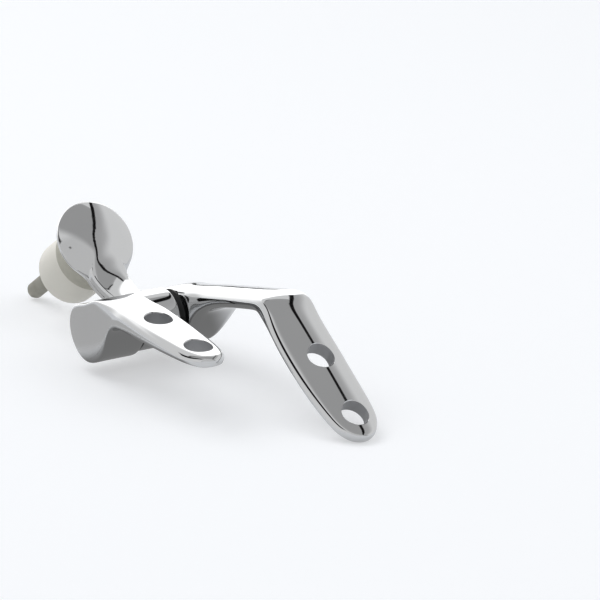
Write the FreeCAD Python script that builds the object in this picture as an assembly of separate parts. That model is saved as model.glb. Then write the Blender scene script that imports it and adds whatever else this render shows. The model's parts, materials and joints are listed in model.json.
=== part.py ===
import FreeCAD, Part
import math
import os

# Toilet seat hinge, lying on a table as it comes to rest: the pin runs along X, the straps point to -Y
# and the pillar leans back to +Y with the end of its stud on the table.
# All pieces are first modelled about the pin, which is the X axis, and are then set down on the table.
# Lengths are in millimetres and angles in degrees.

# Knuckles, along the pin from the seat end
KNUCKLE_R = 10.3
SEAT_KNUCKLE_LENGTH = 16.6
PILLAR_KNUCKLE_LENGTH = 15.6
LID_KNUCKLE_LENGTH = 16.6
KNUCKLE_EDGE_R = 0.4
PIN_HEIGHT = 14.3           # pin above the table

# Pin and its flanged nylon bushes
PIN_R = 4.0
PIN_CLEARANCE = 0.05        # radial, pin in a bush
PIN_END_GAP = 0.4           # pin end to the bottom of a blind bore
PIN_CHAMFER = 0.5
BUSH_WALL = 1.0
THRUST_R = 8.6
THRUST_THICKNESS = 0.55
THRUST_CLEARANCE = 0.1      # thrust flange to the pillar knuckle
END_CAP_WALL = 3.0          # metal between a blind bore and the outer cap

# Straps of the seat and lid flanges
STRAP_EDGE_R = 1.6
TIP_R = 7.6
HOLE_R = 4.6
HOLE_SPACING = 22.9
TIP_MARGIN = 9.4            # last hole to the tip

# Seat flange: a straight strap that rises from the knuckle
SEAT_TOP = 15.0             # flat top above the pin axis
SEAT_RISE_RUN = 14.0        # from the pin to where the rise meets the flat top
SEAT_RISE_BLEND_R = 30.0
SEAT_ROOT_THICKNESS = 8.4
SEAT_TIP_THICKNESS = 3.7
SEAT_FLARE = 0.6            # each side, wider than the knuckle at the first hole
SEAT_WEB_R = 6.0            # hollow between knuckle and underside
SEAT_FIRST_HOLE = 28.5      # from the pin
SEAT_DROP = 5.5             # slope of the strap towards its tip

# Lid flange: an arm and a flange bent down from it
LID_TOP = 8.9               # arm's flat top above the pin axis, below the knuckle's own top
LID_TOP_BACK_R = 6.0        # from the flat top into the back of the knuckle
LID_ARM = 54.4              # from the pin to the bend
LID_BEND = 48.4
LID_BEND_OUTER_R = 15.0
LID_BEND_INNER_R = 4.0
LID_ARM_THICKNESS = 5.4
LID_FLARE = 1.5             # each side, wider than the knuckle at the first hole
LID_TIP_THICKNESS = 4.2
LID_WEB_R = 16.0            # hollow between knuckle and underside
LID_FIRST_HOLE = 25.8       # from the bend

# Pillar: disc, neck and knuckle, measured upright with the disc on the pan
DISC_R = 14.0
DISC_BACK = 34.5            # disc axis behind the pin
DISC_DROP = 18.5            # disc base below the pin
RIM_HEIGHT = 1.8
RIM_EDGE_R = 0.6
DOME_HEIGHT = 4.6
NECK_WIDTH = 12.8
NECK_THICKNESS = 5.2
NECK_BASE_GAP = 0.5         # neck underside above the disc base
NECK_MEETS_BELOW = 7.2      # neck centre line below the pin where it meets the knuckle
NECK_BEND_INSET = 3.0       # bend behind the front of the rim
NECK_BEND_R = 18.0
NECK_EDGE_R = 2.0

# Stud, washer and loose bush under the disc
STUD_R = 3.0
STUD_SHANK_R = 2.65
STUD_LENGTH = 48.5          # below the disc base
STUD_ROOT = 4.0             # inside the disc
STUD_THREAD_LENGTH = 25.0
STUD_CHAMFER = 0.8
WASHER_R = 13.2
WASHER_THICKNESS = 4.8
WASHER_CLEARANCE = 0.1      # radial, on the stud
SPACER_R = 11.2
SPACER_BORE_R = 5.6
SPACER_LENGTH = 17.5
SPACER_EDGE_R = 0.7
HANG_CLEARANCE = 0.05       # stud to the top of the loose bush's bore

# Worked-out values
JOINT_GAP = THRUST_THICKNESS + THRUST_CLEARANCE
PILLAR_START = SEAT_KNUCKLE_LENGTH + JOINT_GAP
PILLAR_END = PILLAR_START + PILLAR_KNUCKLE_LENGTH
PILLAR_MIDDLE = (PILLAR_START + PILLAR_END) / 2
LID_START = PILLAR_END + JOINT_GAP
LID_END = LID_START + LID_KNUCKLE_LENGTH
BUSH_BORE_R = PIN_R + PIN_CLEARANCE
KNUCKLE_BORE_R = BUSH_BORE_R + BUSH_WALL
SEAT_TIP = SEAT_FIRST_HOLE + HOLE_SPACING + TIP_MARGIN
LID_TIP = LID_FIRST_HOLE + HOLE_SPACING + TIP_MARGIN
SEAT_TAPER = math.degrees(math.atan2(SEAT_ROOT_THICKNESS - SEAT_TIP_THICKNESS, SEAT_TIP))
LID_TAPER = math.degrees(math.atan2(LID_ARM_THICKNESS - LID_TIP_THICKNESS, LID_TIP))
DRILL_DEPTH = 2 * max(SEAT_ROOT_THICKNESS, LID_ARM_THICKNESS)
SPACER_SAG = SPACER_BORE_R - STUD_SHANK_R - HANG_CLEARANCE
X_AXIS = FreeCAD.Vector(1, 0, 0)
PIN_POINT = FreeCAD.Vector(0, 0, 0)


def strap_point(out, up, x=0.0):
    """Point of a strap's outline: out from the pin towards the tip, up from the pin."""
    return FreeCAD.Vector(x, -out, up)


def offset(point, direction, length):
    """2-D point moved along a 2-D direction."""
    return (point[0] + direction[0] * length, point[1] + direction[1] * length)


def crossing(point_a, direction_a, point_b, direction_b):
    """2-D point where two lines cross."""
    across = direction_a[0] * direction_b[1] - direction_a[1] * direction_b[0]
    gap = (point_b[0] - point_a[0], point_b[1] - point_a[1])
    along = (gap[0] * direction_b[1] - gap[1] * direction_b[0]) / across
    return offset(point_a, direction_a, along)


def unit(angle):
    """2-D direction at an angle above the outward direction."""
    return (math.cos(math.radians(angle)), math.sin(math.radians(angle)))


def rounded_corner(corner, direction_in, direction_out, radius):
    """Start, middle and end of the arc that rounds a corner between two directions."""
    turn = math.acos(direction_in[0] * direction_out[0] + direction_in[1] * direction_out[1])
    reach = radius * math.tan(turn / 2)
    start = offset(corner, direction_in, -reach)
    end = offset(corner, direction_out, reach)
    inward = (direction_out[0] - direction_in[0], direction_out[1] - direction_in[1])
    size = math.hypot(*inward)
    to_arc = radius / math.cos(turn / 2) - radius
    middle = offset(corner, (inward[0] / size, inward[1] / size), to_arc)
    return start, middle, end


def seat_rise():
    """Where the rise leaves the knuckle, its angle, and where it meets the flat top."""
    shoulder = (SEAT_RISE_RUN, SEAT_TOP)
    reach = math.hypot(*shoulder)
    touch_angle = math.atan2(SEAT_TOP, SEAT_RISE_RUN) + math.acos(KNUCKLE_R / reach)
    touch = (KNUCKLE_R * math.cos(touch_angle), KNUCKLE_R * math.sin(touch_angle))
    rise = math.degrees(touch_angle) - 90
    return touch, rise, shoulder


def web_arc(underside_point, underside_angle, web_r):
    """Arc that fills the hollow between the knuckle and a strap's underside."""
    direction = unit(underside_angle)
    normal = (direction[1], -direction[0])
    base = offset(underside_point, normal, web_r)
    along = base[0] * direction[0] + base[1] * direction[1]
    square = base[0] ** 2 + base[1] ** 2 - (KNUCKLE_R + web_r) ** 2
    centre = offset(base, direction, -along + math.sqrt(along ** 2 - square))
    on_strap = offset(centre, normal, -web_r)
    size = math.hypot(*centre)
    on_knuckle = (centre[0] * KNUCKLE_R / size, centre[1] * KNUCKLE_R / size)
    towards = (on_strap[0] + on_knuckle[0] - 2 * centre[0], on_strap[1] + on_knuckle[1] - 2 * centre[1])
    length = math.hypot(*towards)
    middle = offset(centre, (towards[0] / length, towards[1] / length), web_r)
    return on_strap, middle, on_knuckle


def outline_face(runs, to_point):
    """Face from a list of runs: a pair of points is a line, a triple is an arc through its middle."""
    edges = []
    for run in runs:
        points = [to_point(*pair) for pair in run]
        curve = Part.LineSegment if len(points) == 2 else Part.Arc
        edges.append(curve(*points).toShape())
    return Part.Face(Part.Wire(edges))


def knuckle_back(on_knuckle, touch):
    """Arc of the knuckle from the web round the bottom and back to the rise."""
    return (on_knuckle, offset((0, 0), unit(225), KNUCKLE_R), touch)


def plan_prism(start, width, flare, widest, tip):
    """Upright prism that flares a strap from its knuckle's width, narrows it again and rounds its tip."""
    far = 4 * tip
    middle = width / 2
    tip_centre = tip - TIP_R
    lean = 2 * math.atan2(middle + flare - TIP_R, tip_centre - widest)
    touch = (tip_centre + TIP_R * math.sin(lean), TIP_R * math.cos(lean))

    def plan_point(out, across):
        return FreeCAD.Vector(middle + across, -out, -far)

    def side(sign):
        curve = Part.BSplineCurve()
        points = [plan_point(start, sign * middle), plan_point(widest, sign * (middle + flare)),
                  plan_point(touch[0], sign * touch[1])]
        curve.interpolate(Points=points, InitialTangent=FreeCAD.Vector(0, -1, 0),
                          FinalTangent=FreeCAD.Vector(-sign * math.sin(lean), -math.cos(lean), 0))
        return curve.toShape()

    back = [plan_point(start, -middle), plan_point(-far, -middle), plan_point(-far, middle), plan_point(start, middle)]
    edges = [Part.LineSegment(*pair).toShape() for pair in zip(back, back[1:])]
    tip_arc = Part.Arc(plan_point(touch[0], touch[1]), plan_point(tip, 0), plan_point(touch[0], -touch[1]))
    edges += [side(1), tip_arc.toShape(), side(-1)]
    return Part.Face(Part.Wire(edges)).extrude(FreeCAD.Vector(0, 0, 2 * far))


def laid_along(prism, corner, slope):
    """Prism turned to a strap's slope and moved to the corner that it is measured from."""
    prism.rotate(PIN_POINT, X_AXIS, -slope)
    prism.translate(strap_point(*corner))
    return prism


def runs_across(edge):
    """True for a straight edge along the pin, which is a seam and not an outer edge."""
    return abs(edge.BoundBox.XLength - edge.Length) < 1e-6


def round_outline(solid):
    """Strap with its whole outer edge rounded."""
    return solid.makeFillet(STRAP_EDGE_R, [edge for edge in solid.Edges if not runs_across(edge)])


def drill_holes(solid, corner, slope, first, width):
    """Strap with its two screw holes, square to its top."""
    along = unit(slope)
    up = unit(slope + 90)
    for out in (first, first + HOLE_SPACING):
        centre = offset(corner, along, out)
        low = offset(centre, up, -DRILL_DEPTH)
        axis = FreeCAD.Vector(0, -up[0], up[1])
        drill = Part.makeCylinder(HOLE_R, 2 * DRILL_DEPTH, strap_point(*low, width / 2), axis)
        solid = solid.cut(drill)
    return solid


def seat_outline():
    """Runs of the seat flange's side outline."""
    touch, rise, shoulder = seat_rise()
    crest = rounded_corner(shoulder, unit(rise), (1, 0), SEAT_RISE_BLEND_R)
    tip_top = (SEAT_TIP, SEAT_TOP)
    tip_low = (SEAT_TIP, SEAT_TOP - SEAT_TIP_THICKNESS)
    on_strap, middle, on_knuckle = web_arc(tip_low, SEAT_TAPER, SEAT_WEB_R)
    return [
        (touch, crest[0]), crest, (crest[2], tip_top), (tip_top, tip_low), (tip_low, on_strap),
        (on_strap, middle, on_knuckle), knuckle_back(on_knuckle, touch),
    ]


def lid_top_back():
    """Arc from the back of the lid knuckle over to the arm's flat top."""
    rise = LID_TOP - LID_TOP_BACK_R
    reach = KNUCKLE_R - LID_TOP_BACK_R
    centre = (-math.sqrt(reach ** 2 - rise ** 2), rise)
    back_angle = math.degrees(math.atan2(centre[1], centre[0]))
    return [offset(centre, unit(angle), LID_TOP_BACK_R) for angle in (back_angle, (back_angle + 90) / 2, 90)]


def lid_outline():
    """Runs of the lid flange's side outline."""
    back = lid_top_back()
    bend_top = (LID_ARM, LID_TOP)
    outer = rounded_corner(bend_top, (1, 0), unit(-LID_BEND), LID_BEND_OUTER_R)
    tip_top = offset(bend_top, unit(-LID_BEND), LID_TIP)
    tip_low = offset(tip_top, unit(90 - LID_BEND), -LID_TIP_THICKNESS)
    back_up = unit(180 - LID_BEND + LID_TAPER)
    arm_low = (LID_ARM, LID_TOP - LID_ARM_THICKNESS)
    bend_low = crossing(tip_low, back_up, arm_low, (1, 0))
    inner = rounded_corner(bend_low, back_up, (-1, 0), LID_BEND_INNER_R)
    on_strap, middle, on_knuckle = web_arc(arm_low, 0, LID_WEB_R)
    return [
        (back[2], outer[0]), outer, (outer[2], tip_top), (tip_top, tip_low), (tip_low, inner[0]), inner,
        (inner[2], on_strap), (on_strap, middle, on_knuckle), knuckle_back(on_knuckle, back[0]), back,
    ]


def flange_casting(outline, width, flare, plan):
    """Knuckle and strap as one casting, from x = 0 to its width, without holes."""
    face = outline_face(outline, strap_point)
    face.translate(FreeCAD.Vector(-flare, 0, 0))
    blank = face.extrude(FreeCAD.Vector(width + 2 * flare, 0, 0))
    return round_outline(blank.common(plan).removeSplitter())


def make_seat_flange():
    width = SEAT_KNUCKLE_LENGTH
    corner = (0, SEAT_TOP)
    prism = plan_prism(KNUCKLE_R, width, SEAT_FLARE, SEAT_FIRST_HOLE, SEAT_TIP)
    casting = flange_casting(seat_outline(), width, SEAT_FLARE, laid_along(prism, corner, 0))
    casting = drill_holes(casting, corner, 0, SEAT_FIRST_HOLE, width)
    bore = Part.makeCylinder(KNUCKLE_BORE_R, width, FreeCAD.Vector(END_CAP_WALL, 0, 0), X_AXIS)
    return casting.cut(bore)


def make_lid_flange():
    width = LID_KNUCKLE_LENGTH
    corner = (LID_ARM, LID_TOP)
    prism = plan_prism(0, width, LID_FLARE, LID_FIRST_HOLE, LID_TIP)
    casting = flange_casting(lid_outline(), width, LID_FLARE, laid_along(prism, corner, -LID_BEND))
    casting = drill_holes(casting, corner, -LID_BEND, LID_FIRST_HOLE, width)
    casting = casting.cut(Part.makeCylinder(KNUCKLE_BORE_R, width - END_CAP_WALL, PIN_POINT, X_AXIS))
    casting.translate(FreeCAD.Vector(LID_START, 0, 0))
    return casting


def make_pivot_bush(length):
    """Flanged nylon bush from x = 0, with its thrust flange at the far end."""
    sleeve = Part.makeCylinder(KNUCKLE_BORE_R, length, PIN_POINT, X_AXIS)
    thrust = Part.makeCylinder(THRUST_R, THRUST_THICKNESS, FreeCAD.Vector(length, 0, 0), X_AXIS)
    bore = Part.makeCylinder(BUSH_BORE_R, length + THRUST_THICKNESS, PIN_POINT, X_AXIS)
    return sleeve.fuse(thrust).cut(bore).removeSplitter()


def make_seat_pivot_bush():
    bush = make_pivot_bush(SEAT_KNUCKLE_LENGTH - END_CAP_WALL)
    bush.translate(FreeCAD.Vector(END_CAP_WALL, 0, 0))
    return bush


def make_lid_pivot_bush():
    bush = make_pivot_bush(LID_KNUCKLE_LENGTH - END_CAP_WALL)
    bush.rotate(PIN_POINT, FreeCAD.Vector(0, 0, 1), 180)
    bush.translate(FreeCAD.Vector(LID_END - END_CAP_WALL, 0, 0))
    return bush


def make_hinge_pin():
    start = END_CAP_WALL + PIN_END_GAP
    length = LID_END - 2 * start
    pin = Part.makeCylinder(PIN_R, length, FreeCAD.Vector(start, 0, 0), X_AXIS)
    ends = [edge for edge in pin.Edges if len(edge.Vertexes) == 1]
    return pin.makeChamfer(PIN_CHAMFER, ends)


def upright_point(back, up, x=PILLAR_MIDDLE):
    """Point of the upright pillar: back from the pin, up from the pin."""
    return FreeCAD.Vector(x, back, up)


def make_disc():
    """Domed disc with a short rim."""
    rim_top = RIM_HEIGHT - DISC_DROP
    dome_top = rim_top + DOME_HEIGHT
    dome_r = (DISC_R ** 2 + DOME_HEIGHT ** 2) / (2 * DOME_HEIGHT)
    half = math.asin(DISC_R / dome_r) / 2
    base = upright_point(DISC_BACK, -DISC_DROP)
    low_edge = upright_point(DISC_BACK + DISC_R, -DISC_DROP)
    high_edge = upright_point(DISC_BACK + DISC_R, rim_top)
    shoulder = upright_point(DISC_BACK + dome_r * math.sin(half), dome_top - dome_r * (1 - math.cos(half)))
    top = upright_point(DISC_BACK, dome_top)
    edges = [
        Part.LineSegment(base, low_edge).toShape(),
        Part.LineSegment(low_edge, high_edge).toShape(),
        Part.Arc(high_edge, shoulder, top).toShape(),
        Part.LineSegment(top, base).toShape(),
    ]
    disc = Part.Face(Part.Wire(edges)).revolve(base, FreeCAD.Vector(0, 0, 1), 360)
    rim = [edge for edge in disc.Edges if len(edge.Vertexes) == 1 and edge.BoundBox.ZLength < 1e-6
           and edge.BoundBox.XLength > DISC_R]
    return disc.makeFillet(RIM_EDGE_R, rim)


def neck_outline():
    """Runs of the neck's side outline: level inside the disc, then rising into the knuckle."""
    half = NECK_THICKNESS / 2
    middle = NECK_BASE_GAP + half - DISC_DROP
    start = (DISC_BACK, middle)
    bend = (DISC_BACK - DISC_R + NECK_BEND_INSET, middle)
    end = (math.sqrt(KNUCKLE_R ** 2 - NECK_MEETS_BELOW ** 2) - half, -NECK_MEETS_BELOW)
    size = math.hypot(end[0] - bend[0], end[1] - bend[1])
    level = (-1, 0)
    rising = ((end[0] - bend[0]) / size, (end[1] - bend[1]) / size)
    top_low = []
    for side, radius in ((half, NECK_BEND_R), (-half, NECK_BEND_R + NECK_THICKNESS)):
        near = offset(start, (0, 1), side)
        far = offset(end, (rising[1], -rising[0]), side)
        arc = rounded_corner(crossing(near, level, far, rising), level, rising, radius)
        top_low.append([(near, arc[0]), arc, (arc[2], far)])
    top, low = top_low
    low = [run[::-1] for run in low[::-1]]
    return top + [(top[-1][-1], low[0][0])] + low + [(low[-1][-1], top[0][0])]


def make_neck():
    """Bar from inside the disc to inside the knuckle, with its long edges rounded."""
    def side_point(back, up):
        return upright_point(back, up, PILLAR_MIDDLE - NECK_WIDTH / 2)

    neck = outline_face(neck_outline(), side_point).extrude(FreeCAD.Vector(NECK_WIDTH, 0, 0))
    long_edges = [edge for edge in neck.Edges if edge.BoundBox.XLength < 1e-6
                  and abs(edge.Length - NECK_THICKNESS) > 1e-6]
    return neck.makeFillet(NECK_EDGE_R, long_edges)


def make_pillar():
    knuckle = Part.makeCylinder(KNUCKLE_R, PILLAR_KNUCKLE_LENGTH, FreeCAD.Vector(PILLAR_START, 0, 0), X_AXIS)
    ends = [edge for edge in knuckle.Edges if len(edge.Vertexes) == 1]
    knuckle = knuckle.makeFillet(KNUCKLE_EDGE_R, ends)
    casting = make_disc().fuse([make_neck(), knuckle])
    pin_bore = Part.makeCylinder(PIN_R, LID_END, PIN_POINT, X_AXIS)
    stud_hole = Part.makeCylinder(STUD_SHANK_R, STUD_ROOT, upright_point(DISC_BACK, -DISC_DROP))
    return casting.cut([pin_bore, stud_hole])


def make_mounting_stud():
    end = -DISC_DROP - STUD_LENGTH
    shank_length = STUD_LENGTH + STUD_ROOT - STUD_THREAD_LENGTH
    shank = Part.makeCylinder(STUD_SHANK_R, shank_length, upright_point(DISC_BACK, end + STUD_THREAD_LENGTH))
    thread = Part.makeCylinder(STUD_R, STUD_THREAD_LENGTH, upright_point(DISC_BACK, end))
    low = [edge for edge in thread.Edges if edge.BoundBox.ZMax < end + 1e-6]
    return shank.fuse(thread.makeChamfer(STUD_CHAMFER, low)).removeSplitter()


def make_ring(outer, inner, height, base, edge_r):
    """Upright ring with rounded outer edges."""
    solid = Part.makeCylinder(outer, height, base)
    edges = [edge for edge in solid.Edges if len(edge.Vertexes) == 1]
    return solid.makeFillet(edge_r, edges).cut(Part.makeCylinder(inner, height, base))


def make_sealing_washer():
    base = upright_point(DISC_BACK, -DISC_DROP - WASHER_THICKNESS)
    return make_ring(WASHER_R, STUD_SHANK_R + WASHER_CLEARANCE, WASHER_THICKNESS, base, RIM_EDGE_R)


def make_spacer_bush():
    base = upright_point(DISC_BACK - SPACER_SAG, -DISC_DROP - WASHER_THICKNESS - SPACER_LENGTH)
    return make_ring(SPACER_R, SPACER_BORE_R, SPACER_LENGTH, base, SPACER_EDGE_R)


def pillar_lean():
    """Turn about the pin that lays the upright pillar down until its stud's end is on the table."""
    reach = DISC_BACK - STUD_R
    depth = DISC_DROP + STUD_LENGTH - STUD_CHAMFER
    swing = math.acos(-PIN_HEIGHT / math.hypot(reach, depth))
    return 90 - math.degrees(swing - math.atan2(depth, reach))


def lid_lift():
    """Rise of the lid arm at which the flange's tip is on the table."""
    tip = offset((LID_ARM, LID_TOP), unit(-LID_BEND), LID_TIP - STRAP_EDGE_R)
    low = offset(tip, unit(90 - LID_BEND), -LID_TIP_THICKNESS)
    swing = math.acos(-PIN_HEIGHT / math.hypot(*low))
    return math.degrees(math.atan2(low[0], low[1]) - swing)


def main():
    lean = pillar_lean()
    lift = lid_lift()
    pieces = {
        "pillar": (make_pillar(), lean),
        "mounting_stud": (make_mounting_stud(), lean),
        "sealing_washer": (make_sealing_washer(), lean),
        "spacer_bush": (make_spacer_bush(), lean),
        "hinge_pin": (make_hinge_pin(), 0),
        "seat_flange": (make_seat_flange(), SEAT_DROP),
        "seat_pivot_bush": (make_seat_pivot_bush(), SEAT_DROP),
        "lid_flange": (make_lid_flange(), -lift),
        "lid_pivot_bush": (make_lid_pivot_bush(), -lift),
    }
    os.makedirs("parts", exist_ok=True)
    shapes = {}
    for name, (shape, turn) in pieces.items():
        shape.rotate(PIN_POINT, X_AXIS, turn)
        shapes[name] = shape
    box = Part.makeCompound(list(shapes.values())).optimalBoundingBox()
    to_table = FreeCAD.Vector(-box.Center.x, -box.Center.y, -box.ZMin)
    for name, shape in shapes.items():
        shape.translate(to_table)
        shape.exportStep("parts/" + name + ".step")
        print(name, shape.isValid(), len(shape.Solids), round(shape.Volume, 2))
    print("pin", to_table, "lean", lean, "lift", lift)
    print("size", box.XLength, box.YLength, box.ZLength)


main()
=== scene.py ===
"""Visual model of a chromed toilet seat hinge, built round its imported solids."""

import json
import math

import bmesh
import bpy
from bpy.props import FloatProperty, FloatVectorProperty, PointerProperty
from bpy.types import Operator, Panel, PropertyGroup
from mathutils import Matrix, Vector


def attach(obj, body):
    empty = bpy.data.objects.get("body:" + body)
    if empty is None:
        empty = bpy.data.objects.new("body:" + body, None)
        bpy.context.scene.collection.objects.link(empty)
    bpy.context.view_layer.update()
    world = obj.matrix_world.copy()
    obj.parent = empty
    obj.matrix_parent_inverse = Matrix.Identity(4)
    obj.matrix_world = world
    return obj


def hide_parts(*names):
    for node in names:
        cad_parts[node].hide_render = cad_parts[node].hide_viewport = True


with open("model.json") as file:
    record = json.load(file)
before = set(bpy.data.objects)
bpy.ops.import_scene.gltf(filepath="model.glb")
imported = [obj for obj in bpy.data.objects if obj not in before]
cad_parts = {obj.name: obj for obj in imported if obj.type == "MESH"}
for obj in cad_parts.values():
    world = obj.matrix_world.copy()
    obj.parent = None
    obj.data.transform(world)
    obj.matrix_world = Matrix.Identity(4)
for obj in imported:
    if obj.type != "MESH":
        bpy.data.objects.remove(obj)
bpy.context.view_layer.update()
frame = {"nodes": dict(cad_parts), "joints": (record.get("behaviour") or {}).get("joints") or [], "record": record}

bl_info = {
    "name": "Toilet Seat Hinge",
    "version": (1, 0, 0),
    "blender": (4, 5, 0),
    "location": "View3D > Sidebar > Hinge",
    "description": "Cast and chromed seat hinge with its stud, washer and spacer",
    "category": "Object",
}

MM = 0.001
ROUND_STEPS, HOLE_STEPS, BORE_STEPS, STUD_STEPS, THREAD_STEPS, RING_STEPS = 16, 64, 48, 40, 28, 96
SMOOTH_LEVELS = 3
MERGE = 1e-5  # millimetres between points that are one
OVERRUN = 4.0  # millimetres that a cutter runs past what it cuts
RING_SWELL = 1.047  # makes up for what smoothing takes off a side knuckle
CORNER_LIMIT = 0.4  # largest share of a side or a half width that one rounded corner takes
INNER_COLUMN = 0.55  # place of the columns between a strap's middle and its corners
LOW_CROWN = 0.2  # crown of a strap's underside as a share of the top's
SIDE_SLIDE = 0.6  # share of the underside's sideways shift that the side above it follows
WALL_LIMIT = 0.5  # a cut face is a hole's wall if its normal's part along the hole is less than this
BAND_DARK, WALL_PALE = 0.008, 0.83  # brightness of the dark bands and the pale walls that the chrome reflects

MOUNTS = {mount["name"]: mount for mount in frame["record"]["mounts"]}
PIN = Vector(frame["joints"][0]["pos_m"])
STUD_AXIS = Vector(MOUNTS["stud"]["axis"])
SEAT_NORMAL = Vector(MOUNTS["seat_holes"]["axis"])
LID_NORMAL = Vector(MOUNTS["lid_holes"]["axis"])
LEAN = math.atan2(STUD_AXIS.y, -STUD_AXIS.z)
SEAT_DROP = math.atan2(-SEAT_NORMAL.y, SEAT_NORMAL.z)
LID_FACE_DROP = math.atan2(-LID_NORMAL.y, LID_NORMAL.z)


def length(name, value, text):
    """Length property, whose default is given in millimetres."""
    return FloatProperty(name=name, description=text, default=value * MM, min=0.0, unit="LENGTH", precision=4)


def colour(name, value, text):
    """Colour property of a finish."""
    return FloatVectorProperty(name=name, description=text, default=value, size=3, min=0.0, max=1.0, subtype="COLOR")


class HingeSizes(PropertyGroup):
    """Sizes of the hinge's pieces"""

    knuckle_r: length("Knuckle radius", 10.3, "Radius of the side knuckles; the middle one is a little slimmer")
    side_knuckle: length("Side knuckle", 16.6, "Length of the seat and lid knuckles along the pin")
    pillar_knuckle: length("Pillar knuckle", 15.6, "Length of the middle knuckle along the pin")
    joint_gap: length("Joint gap", 0.65, "Gap between two knuckles, filled by a thrust flange")
    cap_wall: length("Cap wall", 3.0, "Metal between a blind bore and the outer cap")
    bore_r: length("Bore radius", 5.05, "Bore of a side knuckle, which holds its nylon bush")
    pin_r: length("Pin radius", 4.0, "Radius of the hinge pin")
    lid_overhang: length("Lid overhang", 1.0, "How far the lid knuckle reaches over the rim of its nylon bush")
    flange_seat_r: length("Rim seat", 9.3, "Recess in the lid knuckle for the rim of its nylon bush")
    pillar_short: length("Pillar setback", 2.2, "How much the middle knuckle stops short of the lid's side")
    hole_r: length("Hole radius", 4.6, "Radius of the screw holes")
    hole_spacing: length("Hole spacing", 22.9, "Distance between the two holes of a strap")
    hole_chamfer: length("Hole chamfer", 0.35, "Broken edge of a screw hole")
    crown: length("Crown", 0.9, "How far the middle of a strap stands above its edges")
    lid_crown: length("Lid crown", 2.1, "How far the middle of the lid's strap stands above its edges")
    disc_r: length("Disc radius", 14.0, "Radius of the domed disc")
    disc_back: length("Disc setback", 34.5, "From the pin to the disc's axis, upright")
    disc_drop: length("Disc drop", 18.5, "From the pin down to the disc's base, upright")
    stud_r: length("Stud radius", 3.0, "Outer radius of the stud's thread")
    stud_core_r: length("Stud core radius", 2.55, "Radius at the root of the thread and of the plain shank")
    stud_length: length("Stud length", 48.5, "From the disc's base to the end of the stud")
    thread_length: length("Thread length", 25.0, "Threaded end of the stud")
    thread_pitch: length("Thread pitch", 1.0, "Pitch of the stud's thread")
    washer_r: length("Washer radius", 12.0, "Radius of the sealing washer")
    washer_height: length("Washer thickness", 7.0, "Thickness of the sealing washer")
    spacer_r: length("Spacer radius", 11.2, "Radius of the loose spacer bush")
    spacer_bore_r: length("Spacer bore", 5.6, "Bore of the loose spacer bush")
    spacer_length: length("Spacer length", 15.3, "Length of the loose spacer bush")


class HingeColours(PropertyGroup):
    """Colours of the hinge's finishes, and the painted shade on the walls of its screw holes"""

    chrome: colour("Chrome", (0.555, 0.56, 0.565), "Polished chrome plate")
    # Painted shade: the walls of the screw holes get this darker colour in place of the shade inside the holes.
    hole_wall_shade: colour("Hole wall", (0.3, 0.3, 0.305), "Dull plate on the walls of the screw holes")
    spacer: colour("Spacer", (0.72, 0.69, 0.61), "Moulded plastic of the spacer bush")
    washer: colour("Washer", (0.47, 0.45, 0.375), "Rubber of the sealing washer")
    stud: colour("Stud", (0.42, 0.41, 0.36), "Dull plated steel of the stud")
    pin: colour("Pin", (0.55, 0.55, 0.56), "Ground steel of the pin")
    nylon: colour("Nylon", (0.05, 0.05, 0.05), "Nylon of the pivot bushes")


class HingeStage(PropertyGroup):
    """Place of the camera and the reflection cards"""

    azimuth: FloatProperty(name="Azimuth", description="Camera's turn round the hinge", default=math.radians(-36.138),
                           subtype="ANGLE")
    elevation: FloatProperty(name="Elevation", description="Camera's height above the table", subtype="ANGLE",
                             default=math.radians(18.828))
    roll: FloatProperty(name="Roll", description="Camera's turn about its own axis", subtype="ANGLE",
                        default=math.radians(1.764))
    camera: FloatVectorProperty(name="Camera", description="Camera's place", subtype="TRANSLATION", unit="LENGTH",
                                default=(-0.54217, -0.81326, 0.35859))
    lens: FloatProperty(name="Lens", description="Focal length in millimetres", default=190.92, min=1.0)
    ceiling: FloatProperty(name="Ceiling", description="Height of the reflection cards overhead", default=1.2,
                           unit="LENGTH")


def column_places(half, edge):
    """Places across a strap's section, from one edge to the other."""
    edge = min(edge, half * CORNER_LIMIT)
    inner = (half - edge) * INNER_COLUMN
    return [-half, edge - half, -inner, 0.0, inner, half - edge, half]


def section_points(middle, top, low, half, crown, bow, edge, side, inset, under, peak=0.0, slide=0.0):
    """Closed ring of points round a strap: top row, far side, low row, near side.

    The crown sinks the edges of the top, the bow sets them back along the strap, and the peak is the crown's shift
    sideways. Edge and side are the lengths over which a corner is rounded, inset and under draw in the top and the
    underside, and slide shifts the underside sideways.
    """
    top, low = Vector(top), Vector(low)
    up = (top - low).normalized()
    along = Vector((up.y, -up.x))
    back = along * bow * (1 - (1 - inset / half) ** 2)

    def row(base, sink, reach):
        points = []
        for across in column_places(reach, edge):
            flat = base - up * sink * ((across - peak) / half) ** 2 - along * bow * (across / half) ** 2
            points.append(Vector((middle + across, -flat.x, flat.y)))
        return points

    def side_pair(first, last, across):
        share = min(side / (first - last).length, CORNER_LIMIT)
        pair = [first.lerp(last, share), first.lerp(last, 1 - share)]
        for point in pair:
            point.x = middle + across
            point.y += back.x
            point.z -= back.y
        return pair

    top_row = row(top, crown, half - inset)
    low_row = row(low, crown * LOW_CROWN, half - under)
    for point in low_row:
        point.x -= slide
    far = side_pair(top_row[-1], low_row[-1], half)
    near = side_pair(low_row[0], top_row[0], -half)
    far[1].x -= slide * SIDE_SLIDE
    return top_row + far + low_row[::-1] + near


def extrude_ring(bm, ring, points):
    """Extrudes a ring of vertices and moves the new one to its points."""
    edges = [bm.edges.get((ring[i - 1], ring[i])) for i in range(len(ring))]
    made = bmesh.ops.extrude_edge_only(bm, edges=edges)["geom"]
    copies = {tuple(v.co): v for v in made if isinstance(v, bmesh.types.BMVert)}
    moved = [copies[tuple(v.co)] for v in ring]
    for vert, point in zip(moved, points):
        vert.co = point
    return moved


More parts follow.
